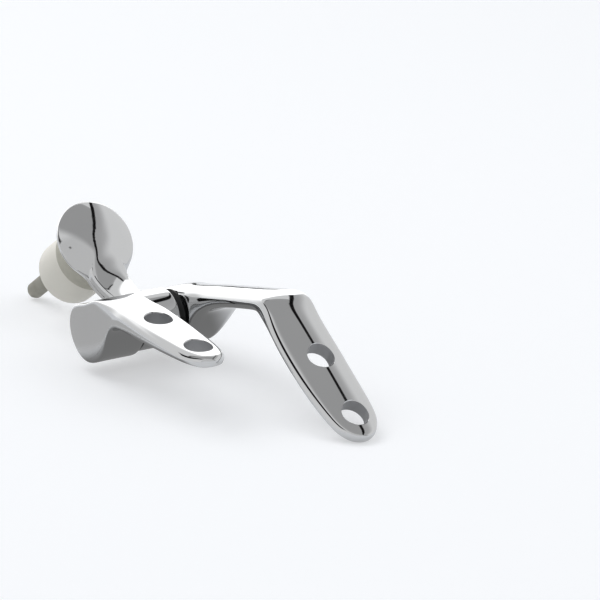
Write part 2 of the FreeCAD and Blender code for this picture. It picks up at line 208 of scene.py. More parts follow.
def close_ring(bm, ring):
    """Closes the end of a strap between its top and low rows."""
    top, far, low, near = ring[:7], ring[7:9], ring[9:16], ring[16:]
    rows = [bm.edges.get(pair) for row in (top, low) for pair in zip(row, row[1:])]
    bmesh.ops.bridge_loops(bm, edges=rows)
    bmesh.ops.contextual_create(bm, geom=[top[-1], *far, low[0]])
    bmesh.ops.contextual_create(bm, geom=[low[-1], *near, top[0]])


def loft(bm, sections):
    """Closed casting through a list of section rings."""
    ring = [bm.verts.new(point) for point in sections[0]]
    for i in range(len(ring)):
        bm.edges.new((ring[i - 1], ring[i]))
    close_ring(bm, ring)
    for points in sections[1:]:
        ring = extrude_ring(bm, ring, points)
    close_ring(bm, ring)


def round_shell(bm, rings, matrix):
    """Closed round shell through rings of height and radius, made along Z, swelled for the smoothing, then placed."""
    swell = 3 / (2 + math.cos(2 * math.pi / ROUND_STEPS))
    height, radius = rings[0]
    made = bmesh.ops.create_circle(bm, cap_ends=True, segments=ROUND_STEPS, radius=radius * swell)["verts"]
    bmesh.ops.translate(bm, verts=made, vec=(0, 0, height))
    cap = made[0].link_faces[0]
    for step, (next_height, next_radius) in enumerate(rings[1:]):
        grown = bmesh.ops.extrude_face_region(bm, geom=[cap])["geom"]
        if step:
            bmesh.ops.delete(bm, geom=[cap], context="FACES_ONLY")
        cap = next(item for item in grown if isinstance(item, bmesh.types.BMFace))
        moved = list(cap.verts)
        bmesh.ops.translate(bm, verts=moved, vec=(0, 0, next_height - height))
        bmesh.ops.scale(bm, verts=moved, vec=(next_radius / radius, next_radius / radius, 1))
        height, radius = next_height, next_radius
    bmesh.ops.transform(bm, matrix=matrix, verts=bm.verts)


def spun(bm, profile, steps, closed=False):
    """Solid of revolution about Z from a profile of radius and height, closed or running from axis to axis."""
    verts = [bm.verts.new((radius, 0, height)) for radius, height in profile]
    edges = [bm.edges.new((verts[i - 1], verts[i])) for i in range(0 if closed else 1, len(verts))]
    bmesh.ops.spin(bm, geom=verts + edges, axis=(0, 0, 1), cent=(0, 0, 0), angle=2 * math.pi, steps=steps,
                   use_merge=True)
    bmesh.ops.remove_doubles(bm, verts=bm.verts, dist=MERGE)
    bmesh.ops.recalc_face_normals(bm, faces=bm.faces)


def mesh_object(bm, name, matrix):
    """New object at the origin from a mesh in millimetres about the pin, set in its place in metres."""
    bmesh.ops.recalc_face_normals(bm, faces=bm.faces)
    bmesh.ops.transform(bm, matrix=matrix @ Matrix.Scale(MM, 4), verts=bm.verts)
    mesh = bpy.data.meshes.new(name)
    bm.to_mesh(mesh)
    bm.free()
    obj = bpy.data.objects.new(name, mesh)
    bpy.context.scene.collection.objects.link(obj)
    return obj


def turned(angle):
    """Matrix from the pin's own frame to the table, after a turn about the pin."""
    return Matrix.Translation(PIN) @ Matrix.Rotation(angle, 4, "X")


def settle(obj, cutters, axis=None, joined=()):
    """Applies the object's smoothing, joins and cuts, marks hole walls along an axis, and removes the helpers."""
    helpers = list(joined) + list(cutters)
    for helper in helpers:
        cut = obj.modifiers.new("cut", "BOOLEAN")
        cut.operation = "UNION" if helper in joined else "DIFFERENCE"
        cut.solver = "EXACT"
        cut.material_mode = "TRANSFER"
        cut.object = helper
    bpy.context.view_layer.update()
    graph = bpy.context.evaluated_depsgraph_get()
    mesh = bpy.data.meshes.new_from_object(obj.evaluated_get(graph))
    obj.modifiers.clear()
    old = obj.data
    obj.data = mesh
    mesh.name = obj.name
    bpy.data.meshes.remove(old)
    for helper in helpers:
        spent = helper.data
        bpy.data.objects.remove(helper)
        bpy.data.meshes.remove(spent)
    walls = []
    for face in mesh.polygons:
        cut_face = axis is not None and face.material_index > 0
        walls.append(float(cut_face and abs(face.normal.dot(axis)) < WALL_LIMIT))
    mesh.attributes.new("bore", "FLOAT", "FACE").data.foreach_set("value", walls)


def subdivide(obj):
    """Subdivision surface with the same levels on screen and in a render."""
    smooth = obj.modifiers.new("smooth", "SUBSURF")
    smooth.levels = SMOOTH_LEVELS
    smooth.render_levels = SMOOTH_LEVELS


def shade(obj, angle=40):
    """Smooth shading, with edges sharper than an angle kept."""
    obj.data.shade_smooth()
    obj.data.set_sharp_from_angle(angle=math.radians(angle))


def finish_piece(obj, node, body, material):
    """Gives a finished piece its material in its one slot and its body, and hides the solid that it stands for."""
    obj.data.materials.clear()
    obj.data.materials.append(material)
    obj.data.polygons.foreach_set("material_index", [0] * len(obj.data.polygons))
    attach(obj, body)
    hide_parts(node)


def hole_cutter(sizes, name, centre, tilt, low, matrix):
    """Cutter for one screw hole, flared to break the hole's edge, whose material marks the faces that it cuts."""
    hole_r, chamfer = sizes.hole_r / MM, sizes.hole_chamfer / MM
    base, flare = low - OVERRUN, hole_r + chamfer + OVERRUN
    bm = bmesh.new()
    spun(bm, [(0, base), (hole_r, base), (hole_r, -chamfer), (flare, OVERRUN), (0, OVERRUN)], HOLE_STEPS)
    place = Matrix.Translation(centre) @ Matrix.Rotation(tilt, 4, "X")
    bmesh.ops.transform(bm, matrix=place, verts=bm.verts)
    cutter = mesh_object(bm, name, matrix)
    cutter.data.materials.append(bpy.data.materials.get("hole_mark") or bpy.data.materials.new("hole_mark"))
    return cutter


def bore_cutter(radius, start, end, matrix, name):
    """Cutter for a bore along the pin."""
    bm = bmesh.new()
    spun(bm, [(0, start), (radius, start), (radius, end), (0, end)], BORE_STEPS)
    bmesh.ops.rotate(bm, verts=bm.verts, cent=(0, 0, 0), matrix=Matrix.Rotation(math.pi / 2, 3, "Y"))
    return mesh_object(bm, name, matrix)


def on_circle(radius, angle):
    """Point of a knuckle's outline at an angle above the outward direction."""
    return (radius * math.cos(math.radians(angle)), radius * math.sin(math.radians(angle)))


def wear_group():
    """Shader group: smudges, the uneven gloss that they leave, and faint waves of a hard finish."""
    group = bpy.data.node_groups.get("surface_wear")
    if group:
        return group
    group = bpy.data.node_groups.new("surface_wear", "ShaderNodeTree")
    face = group.interface
    for name, default in (("Scale", 1.0), ("Roughness Low", 0.04), ("Roughness High", 0.1)):
        face.new_socket(name=name, in_out="INPUT", socket_type="NodeSocketFloat").default_value = default
    face.new_socket(name="Roughness", in_out="OUTPUT", socket_type="NodeSocketFloat")
    face.new_socket(name="Smudge", in_out="OUTPUT", socket_type="NodeSocketFloat")
    face.new_socket(name="Height", in_out="OUTPUT", socket_type="NodeSocketFloat")
    nodes, links = group.nodes, group.links
    entry = nodes.new("NodeGroupInput")
    leave = nodes.new("NodeGroupOutput")
    coords = nodes.new("ShaderNodeTexCoord")
    scaled = nodes.new("ShaderNodeVectorMath")
    scaled.operation = "SCALE"
    links.new(coords.outputs["Object"], scaled.inputs[0])
    links.new(entry.outputs["Scale"], scaled.inputs["Scale"])
    smudge = nodes.new("ShaderNodeTexNoise")
    smudge.inputs["Scale"].default_value = 90.0
    smudge.inputs["Detail"].default_value = 4.0
    links.new(scaled.outputs["Vector"], smudge.inputs["Vector"])
    spread = nodes.new("ShaderNodeMapRange")
    spread.inputs["From Min"].default_value = 0.35
    spread.inputs["From Max"].default_value = 0.7
    links.new(smudge.outputs["Fac"], spread.inputs["Value"])
    links.new(entry.outputs["Roughness Low"], spread.inputs["To Min"])
    links.new(entry.outputs["Roughness High"], spread.inputs["To Max"])
    wave = nodes.new("ShaderNodeTexNoise")
    wave.inputs["Scale"].default_value = 160.0
    wave.inputs["Detail"].default_value = 1.0
    links.new(scaled.outputs["Vector"], wave.inputs["Vector"])
    links.new(spread.outputs["Result"], leave.inputs["Roughness"])
    links.new(smudge.outputs["Fac"], leave.inputs["Smudge"])
    links.new(wave.outputs["Fac"], leave.inputs["Height"])
    return group


def hard_finish(name, colour_value, *, metallic, scale, low, high, tint, bump, depth):
    """Material of a hard finish whose colour and gloss vary a little over the surface.

    Low and high bound the roughness, tint darkens the smudges, and bump and depth set the height of the waves.
    """
    material = bpy.data.materials.get(name)
    if material:
        return material
    material = bpy.data.materials.new(name)
    material.use_nodes = True
    nodes, links = material.node_tree.nodes, material.node_tree.links
    shader = nodes["Principled BSDF"]
    shader.inputs["Metallic"].default_value = metallic
    wear = nodes.new("ShaderNodeGroup")
    wear.node_tree = wear_group()
    wear.inputs["Scale"].default_value = scale
    wear.inputs["Roughness Low"].default_value = low
    wear.inputs["Roughness High"].default_value = high
    mix = nodes.new("ShaderNodeMix")
    mix.data_type = "RGBA"
    mix.inputs["A"].default_value = (*colour_value, 1)
    mix.inputs["B"].default_value = (*[channel * tint for channel in colour_value], 1)
    links.new(wear.outputs["Smudge"], mix.inputs["Factor"])
    links.new(mix.outputs["Result"], shader.inputs["Base Color"])
    links.new(wear.outputs["Roughness"], shader.inputs["Roughness"])
    relief = nodes.new("ShaderNodeBump")
    relief.inputs["Strength"].default_value = bump
    relief.inputs["Distance"].default_value = depth
    links.new(wear.outputs["Height"], relief.inputs["Height"])
    links.new(relief.outputs["Normal"], shader.inputs["Normal"])
    return material


def chrome():
    """Polished chrome plate, rougher and less metallic on the walls of the screw holes, where its colour is darkened as
    painted shade.
    """
    known = bpy.data.materials.get("polished_chrome")
    if known:
        return known
    colours = bpy.context.scene.hinge_colours
    wall_roughness, wall_metallic = 0.4, 0.25
    material = hard_finish("polished_chrome", colours.chrome, metallic=1.0, scale=0.8, low=0.035, high=0.075, tint=0.94,
                           bump=0.012, depth=0.0004)
    nodes, links = material.node_tree.nodes, material.node_tree.links
    shader = nodes["Principled BSDF"]
    # Painted shade: the marked hole walls take the darker hole-wall colour, and also more roughness and less metal.
    wall = nodes.new("ShaderNodeAttribute")
    wall.attribute_name = "bore"
    for socket, kind, wall_shade_and_roughness in (("Base Color", "RGBA", (*colours.hole_wall_shade, 1)), ("Roughness", "FLOAT", wall_roughness)):
        mix = nodes.new("ShaderNodeMix")
        mix.data_type = kind
        plain = next(link.from_socket for link in links if link.to_socket == shader.inputs[socket])
        factor, first, second = [port for port in mix.inputs if port.enabled]
        links.new(wall.outputs["Fac"], factor)
        links.new(plain, first)
        second.default_value = wall_shade_and_roughness
        links.new(next(port for port in mix.outputs if port.enabled), shader.inputs[socket])
    plate = nodes.new("ShaderNodeMapRange")
    plate.inputs["To Min"].default_value = 1.0
    plate.inputs["To Max"].default_value = wall_metallic
    links.new(wall.outputs["Fac"], plate.inputs["Value"])
    links.new(plate.outputs["Result"], shader.inputs["Metallic"])
    return material


class HINGE_OT_seat_flange(Operator):
    """Make the seat flange: end knuckle and straight strap in one casting"""

    bl_idname = "hinge.seat_flange"
    bl_label = "Seat Flange"

    def execute(self, context):
        sizes = context.scene.hinge_sizes
        half = sizes.side_knuckle / MM / 2
        crown = sizes.crown / MM
        ring = sizes.knuckle_r / MM * RING_SWELL
        tip, top, first_hole = 60.8, 15.0, 28.5
        tip_under, taper = 11.3, 0.0773
        # Knuckle and root: top point, low point, added half width, crown, edge, side, inset, under.
        knuckle = (
            (on_circle(ring, 164), on_circle(ring, 196), 0.0, 0.0, 0.9, 0.9, 0.2, 0.4),
            (on_circle(ring * 0.97, 140), on_circle(ring, 226), 0.0, 0.0, 0.9, 0.9, 0.2, 0.4),
            ((-2.6, 8.4), on_circle(ring, 252), 0.0, 0.0, 0.9, 0.9, 0.2, 0.5),
            ((2.5, 12.2), on_circle(ring, 272), 0.0, 0.1, 0.9, 0.9, 0.2, 0.6),
            ((5.0, 12.9), on_circle(ring, 290), 0.0, 0.2, 1.1, 1.1, 0.3, 0.7),
            ((9.5, 13.8), on_circle(ring, 316), 0.0, 0.5, 1.7, 1.6, 0.7, 1.0),
            ((13.5, 14.4), on_circle(ring, 346), 0.1, 0.7, 2.5, 2.1, 1.2, 1.4),
            ((17.0, 14.8), (11.6, 3.6), 0.2, crown, 2.8, 2.0, 1.4, 1.7),
            ((20.5, top), (15.0, 7.5), 0.4, crown, 2.9, 1.7, 1.5, 1.6),
        )
        # Strap: distance out, added half width, bow, drop of the top, rise of the underside.
        strap = (
            (25.0, 0.6, 0.0, 0.0, 0.0), (33.0, 0.6, 0.0, 0.0, 0.0), (41.0, 0.3, 0.0, 0.0, 0.0),
            (48.0, -0.2, 0.0, 0.0, 0.0), (53.5, -0.6, 0.6, 0.0, 0.0), (57.8, -1.6, 1.4, 0.0, 0.0),
            (60.6, -3.3, 1.7, 0.0, 0.0), (61.3, -4.3, 1.6, 1.2, 0.8),
        )
        sections = [section_points(half, high, low, half + more, sink, 0.0, *form)
                    for high, low, more, sink, *form in knuckle]
        for out, more, bow, drop, rise in strap:
            low = tip_under - (tip - out) * taper
            sections.append(section_points(half, (out, top - drop), (out, low + rise), half + more, crown, bow,
                                           edge=2.9, side=1.5, inset=1.5, under=1.2))
        bm = bmesh.new()
        loft(bm, sections)
        place = turned(SEAT_DROP)
        flange = mesh_object(bm, "seat_flange_casting", place)
        flange.data.materials.append(chrome())
        subdivide(flange)
        cutters = []
        for out in (first_hole, first_hole + sizes.hole_spacing / MM):
            low = tip_under - top - (tip - out) * taper
            cutters.append(hole_cutter(sizes, "seat_hole", Vector((half, -out, top)), 0, low, place))
        cutters.append(bore_cutter(sizes.bore_r / MM, sizes.cap_wall / MM, 2 * half + OVERRUN, place, "seat_bore"))
        settle(flange, cutters, SEAT_NORMAL)
        shade(flange)
        finish_piece(flange, "seat_flange", "seat_flange", chrome())
        return {"FINISHED"}


class HINGE_OT_lid_flange(Operator):
    """Make the lid flange: end knuckle, arm and bent strap in one casting"""

    bl_idname = "hinge.lid_flange"
    bl_label = "Lid Flange"

    def execute(self, context):
        sizes = context.scene.hinge_sizes
        width = sizes.side_knuckle / MM
        start = width + 2 * sizes.joint_gap / MM + sizes.pillar_knuckle / MM
        front = start - sizes.lid_overhang / MM
        middle = start + width / 2
        half = width / 2
        ring = sizes.knuckle_r / MM * RING_SWELL
        crown = sizes.crown / MM * 1.2
        arm_crown = crown * 0.8
        face_crown = sizes.lid_crown / MM
        bend = math.radians(48.4)
        top, arm, tip, first_hole = 8.9, 54.4, 58.1, 25.8
        tip_thick, taper, most_taper, hole_taper = 4.2, 0.06, 1.1, 0.0207
        left, spare, ridge = 0.3, 0.2, 0.6  # the strap's shift to the left, spare half width and shift of its ridge
        down = Vector((math.cos(bend), -math.sin(bend)))
        normal = Vector((math.sin(bend), math.cos(bend)))
        corner = Vector((arm, top))
        # Knuckle: top point, low point, setback of the outer end, crown, edge, side, inset, under, slide.
        knuckle = (
            (on_circle(ring, 164), on_circle(ring, 196), 1.5, 0.0, 1.6, 1.2, 0.5, 0.5, 0.0),
            ((-8.3, 7.0), on_circle(ring, 226), 1.5, 0.2, 1.6, 1.4, 0.5, 1.4, 0.9),
            ((-4.2, 9.2), on_circle(ring, 256), 1.5, 0.5, 1.8, 1.5, 0.5, 1.9, 1.4),
            ((1.5, top), on_circle(ring, 284), 1.5, arm_crown, 2.0, 1.6, 0.6, 2.0, 1.5),
            ((7.0, top), on_circle(ring, 311), 1.3, arm_crown, 2.2, 1.6, 0.9, 2.0, 1.1),
            ((12.0, top), (11.3, -4.2), 0.7, arm_crown, 2.2, 1.5, 1.1, 1.9, 0.4),
        )
        # Arm: distance out of the top, distance out and height of the underside.
        arm_rows = ((17.0, 15.2, 0.2), (23.0, 20.5, 2.8), (31.0, 29.0, 3.5), (40.0, 38.5, 3.5), (47.5, 45.5, 3.5))
        # Bend: shift to the right, top point, low point, added half width, crown, edge, side, inset, under, peak.
        bend_rows = (
            (0.25, (52.6, 8.7), (49.0, 3.2), 0.35, crown * 0.9, 2.2, 1.4, 1.2, 1.4, 0.0),
            (0.45, (57.0, 6.1), (51.4, 1.7), 0.85, crown, 2.0, 1.3, 0.8, 0.8, 0.75),
        )
        # Strap: distance out, added half width, bow, drop of the top, rise of the underside, widening of the right.
        strap = (
            (8.5, 0.9, 0.0, 0.0, 0.0, 0.3), (16.0, 1.5, 0.0, 0.0, 0.0, 0.0), (24.0, 1.65, 0.0, 0.0, 0.0, 0.0),
            (32.0, 1.5, 0.0, 0.0, 0.0, 0.0), (40.0, 1.0, 0.0, 0.0, 0.0, 0.2), (46.5, 0.3, 0.3, 0.0, 0.0, 0.4),
            (51.5, -0.4, 0.8, 0.0, 0.0, 0.3), (55.4, -1.6, 1.8, 0.0, 0.0, 0.0), (57.6, -3.4, 2.0, 0.0, 0.0, 0.0),
            (58.15, -4.4, 1.5, 1.3, 1.45, 0.0),
        )
        sections = []
        for high, low, setback, sink, edge, side, inset, under, slide in knuckle:
            end = start + width - setback
            sections.append(section_points((front + end) / 2, high, low, (end - front) / 2, sink, 0.0,
                                           edge, side, inset, under, slide=slide))
        for out, *low in arm_rows:
            sections.append(section_points(middle, (out, top), low, half, arm_crown, 0.0,
                                           edge=2.2, side=1.5, inset=1.3, under=1.5))
        for shift, high, low, more, sink, *form in bend_rows:
            sections.append(section_points(middle + shift, high, low, half + more, sink, 0.0, *form))
        for out, more, bow, drop, rise, wide in strap:
            face = corner + down * out
            thick = tip_thick + min((tip - out) * taper, most_taper)
            share = ((half + more) / half) ** 2
            sections.append(section_points(
                middle - left + wide, face - normal * drop, face - normal * (thick - rise), half + more + spare + wide,
                face_crown * share, bow, edge=2.2, side=1.5, inset=0.9, under=0.7, peak=ridge * share - wide))
        bm = bmesh.new()
        loft(bm, sections)
        place = turned(LID_FACE_DROP - bend)
        flange = mesh_object(bm, "lid_flange_casting", place)
        flange.data.materials.append(chrome())
        subdivide(flange)
        cutters = []
        for out in (first_hole, first_hole + sizes.hole_spacing / MM):
            face = corner + down * out
            low = -tip_thick - (tip - out) * hole_taper
            cutters.append(hole_cutter(sizes, "lid_hole", Vector((middle, -face.x, face.y)), bend, low, place))
        bore_end, seat_end = start + width - sizes.cap_wall / MM, start + 0.1
        cutters.append(bore_cutter(sizes.bore_r / MM, start - OVERRUN, bore_end, place, "lid_bore"))
        cutters.append(bore_cutter(sizes.flange_seat_r / MM, front - OVERRUN, seat_end, place, "lid_flange_seat"))
        settle(flange, cutters, LID_NORMAL)
        shade(flange)
        finish_piece(flange, "lid_flange", "lid_flange", chrome())
        return {"FINISHED"}


def neck_faces(bm, low, high):
    """Faces at the disc's front, between two heights, that the neck grows from."""
    half_angle = 34
    chosen = []
    for face in bm.faces:
        centre = face.calc_center_median()
        front = math.degrees(math.atan2(centre.x, -centre.y))
        if len(face.verts) == 4 and abs(front) < half_angle and low < centre.z < high:
            chosen.append(face)
    return chosen


def grow_neck(bm, faces, stations):
    """Extrudes the disc's front faces into a neck, through stations of top point, low point and half width."""
    # Shares of the height above which the neck narrows, by how much, and the rise of its top's middle.
    shoulder, shoulder_taper = 0.32, 0.06
    summit, summit_taper, ridge = 0.99, 0.12, 0.8
    span = {vert for face in faces for vert in face.verts}
    wide = {}
    for vert in span:
        level = round(vert.co.z, 3)
        wide[level] = max(wide.get(level, 0.0), abs(vert.co.x))
    low, high = min(wide), max(wide)
    shares = {}
    for vert in span:
        shares[tuple(vert.co)] = (vert.co.x / wide[round(vert.co.z, 3)], (vert.co.z - low) / (high - low))
    for top, base, half in stations:
        grown = bmesh.ops.extrude_face_region(bm, geom=faces)["geom"]
        bmesh.ops.delete(bm, geom=faces, context="FACES")
        faces = [item for item in grown if isinstance(item, bmesh.types.BMFace)]
        moved = {}
        for vert in {vert for face in faces for vert in face.verts}:
            across, height = shares[tuple(vert.co)]
            narrow = 1 - shoulder_taper * (height > shoulder) - summit_taper * (height > summit)
            place = Vector(base).lerp(Vector(top), height)
            vert.co = (across * half * narrow, place.x, place.y + ridge * (1 - across ** 2) * (height > summit))
            moved[tuple(vert.co)] = (across, height)
        shares = moved


class HINGE_OT_pillar(Operator):
    """Make the pillar: domed disc, neck and middle knuckle"""

    bl_idname = "hinge.pillar"
    bl_label = "Pillar"

    def execute(self, context):
        sizes = context.scene.hinge_sizes
        start = (sizes.side_knuckle + sizes.joint_gap) / MM
        width = sizes.pillar_knuckle / MM
        slimmer, pin_overrun = 0.7, 2.0
        radius = sizes.knuckle_r / MM - slimmer
        disc_r, back, drop = sizes.disc_r / MM, sizes.disc_back / MM, sizes.disc_drop / MM
        neck_low, neck_high = 0.1, 4.0
        # Height and radius of the disc: base, rim, broken edge, dome.
        rings = [
            (0.0, disc_r - 3.0), (0.0, disc_r - 0.4), (0.2, disc_r), (1.2, disc_r),
            (1.36, disc_r - 0.06), (1.43, disc_r - 0.24), (1.54, disc_r - 0.3), (2.38, disc_r - 1.8),
            (3.3, disc_r - 3.7), (4.35, disc_r - 6.4), (5.15, disc_r - 9.4), (5.5, disc_r - 12.2),
        ]
        # Neck from the disc to the knuckle: top point, low point, half width.
        stations = [
            ((-10.3, 3.75), (-14.4, 0.2), 7.4), ((-12.9, 3.8), (-15.6, 0.5), 7.0),
            ((-15.5, 4.85), (-17.6, 1.2), 6.7), ((-18.3, 6.7), (-20.2, 2.8), 6.4),
            ((-21.6, 9.4), (-23.7, 5.5), 6.2), ((-25.1, 12.6), (-27.4, 9.0), 5.9),
            ((-28.0, 15.3), (-30.4, 11.8), 5.6),
        ]
        bm = bmesh.new()
        round_shell(bm, rings, Matrix.Rotation(math.pi / ROUND_STEPS, 4, "Z"))
        grow_neck(bm, neck_faces(bm, neck_low, neck_high), stations)
        bmesh.ops.translate(bm, verts=bm.verts, vec=(start + width / 2, back, -drop))
        pillar = mesh_object(bm, "pillar_casting", turned(LEAN))
        subdivide(pillar)
        end = width - sizes.pillar_short / MM
        barrel = [
            (0.0, radius - 3.0), (0.0, radius - 0.5), (0.15, radius - 0.1), (0.9, radius),
            (end - 0.9, radius), (end - 0.15, radius - 0.1), (end, radius - 0.5), (end, radius - 3.0),
        ]
        bm = bmesh.new()
        round_shell(bm, barrel, Matrix.Translation((start, 0, 0)) @ Matrix.Rotation(math.pi / 2, 4, "Y"))
        knuckle = mesh_object(bm, "pillar_knuckle", turned(LEAN))
        subdivide(knuckle)
        bore = bore_cutter(sizes.pin_r / MM, start - pin_overrun, start + width + pin_overrun, turned(LEAN), "pin_bore")
        settle(pillar, [bore], joined=[knuckle])
        shade(pillar, angle=60)
        finish_piece(pillar, "pillar", "pillar", chrome())
        return {"FINISHED"}


def upright_piece(bm, name, drop, back=0.0):
    """Object for a piece on the stud's axis, made along Z from the disc's base."""
    sizes = bpy.context.scene.hinge_sizes
    middle = (sizes.side_knuckle + sizes.joint_gap + sizes.pillar_knuckle / 2) / MM
    place = Matrix.Translation((middle, sizes.disc_back / MM + back, -sizes.disc_drop / MM + drop))
    bmesh.ops.transform(bm, matrix=place, verts=bm.verts)
    return mesh_object(bm, name, turned(LEAN))


class HINGE_OT_stud(Operator):
    """Make the stud: plain shank and rolled thread"""

    bl_idname = "hinge.stud"
    bl_label = "Mounting Stud"

    def execute(self, context):
        sizes = context.scene.hinge_sizes
        radius, core = sizes.stud_r / MM, sizes.stud_core_r / MM
        end, thread, pitch = -sizes.stud_length / MM, sizes.thread_length / MM, sizes.thread_pitch / MM
        root, lead, run_out = 3.5, 1.0, 1.6
        shank = [(0, end), (core - 0.6, end), (core - 0.15, end + 0.3), (core, end + 0.9), (core, root), (0, root)]
        bm = bmesh.new()
        spun(bm, shank, STUD_STEPS)
        turns = int((thread - run_out) / pitch)
        low = end + lead
        flank, crest = pitch * 0.46, pitch * 0.08
        sunk, outer = core - 0.1, radius - 0.05
        profile = [(sunk, low - flank), (outer, low - crest), (outer, low + crest), (sunk, low + flank)]
        verts = [bm.verts.new((out, 0, up)) for out, up in profile]
        loop = [bm.edges.new((verts[i - 1], verts[i])) for i in range(len(verts))]
        first = bmesh.ops.contextual_create(bm, geom=verts)["faces"]
        if not first:
            raise RuntimeError("the thread's profile could not be closed")
        made = bmesh.ops.spin(bm, geom=loop + verts, axis=(0, 0, 1), cent=(0, 0, 0), dvec=(0, 0, pitch / THREAD_STEPS),
                              angle=2 * math.pi * turns, steps=THREAD_STEPS * turns)["geom_last"]
        bmesh.ops.contextual_create(bm, geom=[item for item in made if isinstance(item, bmesh.types.BMVert)])
        stud = upright_piece(bm, "threaded_stud", 0.0)
        shade(stud, angle=50)
        steel = hard_finish("dull_stud_steel", context.scene.hinge_colours.stud, metallic=0.55, scale=3.0, low=0.42,
                            high=0.62, tint=0.7, bump=0.25, depth=0.0002)
        finish_piece(stud, "mounting_stud", "pillar", steel)
        return {"FINISHED"}


def ring_profile(outer, inner, height, edge):
    """Closed profile of a ring with rounded edges, of radius and height."""
    corner_steps = 4
    points = []
    for radius, level, turn in ((outer, 0, -90), (outer, height, 0), (inner, height, 90), (inner, 0, 180)):
        out = -edge if radius == outer else edge
        up = edge if level == 0 else -edge
        for step in range(corner_steps + 1):
            angle = math.radians(turn + step * 90 / corner_steps)
            points.append((radius + out + edge * math.cos(angle), level + up + edge * math.sin(angle)))
    return points


class HINGE_OT_washer_and_spacer(Operator):
    """Make the sealing washer and the spacer bush that hangs loose on the stud"""

    bl_idname = "hinge.washer_and_spacer"
    bl_label = "Washer and Spacer"

    def execute(self, context):
        sizes = context.scene.hinge_sizes
        colours = context.scene.hinge_colours
        height, long, bore = sizes.washer_height / MM, sizes.spacer_length / MM, sizes.spacer_bore_r / MM
        shank_r, play = 2.65, 0.05
        washer_edge, spacer_edge = 0.6, 0.7
        hang = -(bore - shank_r - play)
        bm = bmesh.new()
        spun(bm, ring_profile(sizes.washer_r / MM, bore, height, washer_edge), RING_STEPS, closed=True)
        washer = upright_piece(bm, "sealing_washer_ring", -height, hang)
        shade(washer)
        rubber = hard_finish("moulded_rubber", colours.washer, metallic=0.0, scale=4.0, low=0.6, high=0.85, tint=0.8,
                             bump=0.3, depth=0.0002)
        finish_piece(washer, "sealing_washer", "pillar", rubber)
        bm = bmesh.new()
        spun(bm, ring_profile(sizes.spacer_r / MM, bore, long, spacer_edge), RING_STEPS, closed=True)
        spacer = upright_piece(bm, "spacer_bush_ring", -height - long, hang)
        shade(spacer)
        plastic = hard_finish("moulded_plastic", colours.spacer, metallic=0.0, scale=1.5, low=0.38, high=0.55,
                              tint=0.93, bump=0.08, depth=0.0003)
        finish_piece(spacer, "spacer_bush", "pillar", plastic)
        return {"FINISHED"}


class HINGE_OT_pivot(Operator):
    """Finish the pin and its nylon bushes, which keep their solid shapes"""

    bl_idname = "hinge.pivot"
    bl_label = "Pin and Bushes"

    def execute(self, context):
        colours = context.scene.hinge_colours
        steel = hard_finish("ground_pin_steel", colours.pin, metallic=1.0, scale=2.0, low=0.2, high=0.32, tint=0.85,
                            bump=0.05, depth=0.0001)
        nylon = hard_finish("black_nylon", colours.nylon, metallic=0.0, scale=3.0, low=0.45, high=0.6, tint=0.8,
                            bump=0.1, depth=0.0002)
        for node, material in (("hinge_pin", steel), ("seat_pivot_bush", nylon), ("lid_pivot_bush", nylon)):
            mesh = frame["nodes"][node].data
            mesh.materials.clear()
            mesh.materials.append(material)
        return {"FINISHED"}


def stage_object(name, bm):
    """Stage piece from a mesh."""
    mesh = bpy.data.meshes.new(name)
    bm.to_mesh(mesh)
    bm.free()
    obj = bpy.data.objects.new(name, mesh)
    bpy.context.scene.collection.objects.link(obj)
    return obj


def glow(name, value, corners, soft):
    """Glowing material of a reflection card that fades out along each border over its own width."""
    material = bpy.data.materials.new(name)
    material.use_nodes = True
    nodes, links = material.node_tree.nodes, material.node_tree.links
    nodes.clear()
    light = nodes.new("ShaderNodeEmission")
    light.inputs["Color"].default_value = (value, value, value, 1)
    clear = nodes.new("ShaderNodeBsdfTransparent")
    place = nodes.new("ShaderNodeTexCoord")
    facing = (corners[1] - corners[0]).cross(corners[2] - corners[1]).normalized()
    mask = None
    for i, width in enumerate(soft):
        if not width:
            continue
        border = corners[(i + 1) % len(corners)] - corners[i]
        inward = facing.cross(border).normalized()
        depth = nodes.new("ShaderNodeVectorMath")
        depth.operation = "DOT_PRODUCT"
        depth.inputs[1].default_value = inward
        links.new(place.outputs["Object"], depth.inputs[0])
        ramp = nodes.new("ShaderNodeMapRange")
        ramp.interpolation_type = "SMOOTHSTEP"
        ramp.inputs["From Min"].default_value = inward.dot(corners[i])
        ramp.inputs["From Max"].default_value = inward.dot(corners[i]) + width
        links.new(depth.outputs["Value"], ramp.inputs["Value"])
        if mask:
            both = nodes.new("ShaderNodeMath")
            both.operation = "MULTIPLY"
            links.new(mask, both.inputs[0])
            links.new(ramp.outputs["Result"], both.inputs[1])
            mask = both.outputs["Value"]
        else:
            mask = ramp.outputs["Result"]
    mix = nodes.new("ShaderNodeMixShader")
    mix.inputs["Fac"].default_value = 1.0
    if mask:
        links.new(mask, mix.inputs["Fac"])
    links.new(clear.outputs["BSDF"], mix.inputs[1])
    links.new(light.outputs["Emission"], mix.inputs[2])
    links.new(mix.outputs["Shader"], nodes.new("ShaderNodeOutputMaterial").inputs["Surface"])
    return material


def card(name, corners, value, soft):
    """Convex card, seen only in reflections, whose borders fade out over soft widths."""
    corners = [Vector(corner) for corner in corners]
    bm = bmesh.new()
    bmesh.ops.contextual_create(bm, geom=[bm.verts.new(corner) for corner in corners])
    obj = stage_object(name, bm)
    obj.data.materials.append(glow(name, value, corners, soft))
    obj.visible_camera = False
    obj.visible_diffuse = False
    obj.visible_shadow = False
    obj.visible_transmission = False


def overhead(name, corners, below, value, soft):
    """Level card a little below the ceiling, of corners and soft widths in shares of the ceiling's height."""
    ceiling = bpy.context.scene.hinge_stage.ceiling
    places = [(x * ceiling, y * ceiling, ceiling - below) for x, y in corners]
    card(name, places, value, [width * ceiling for width in soft])


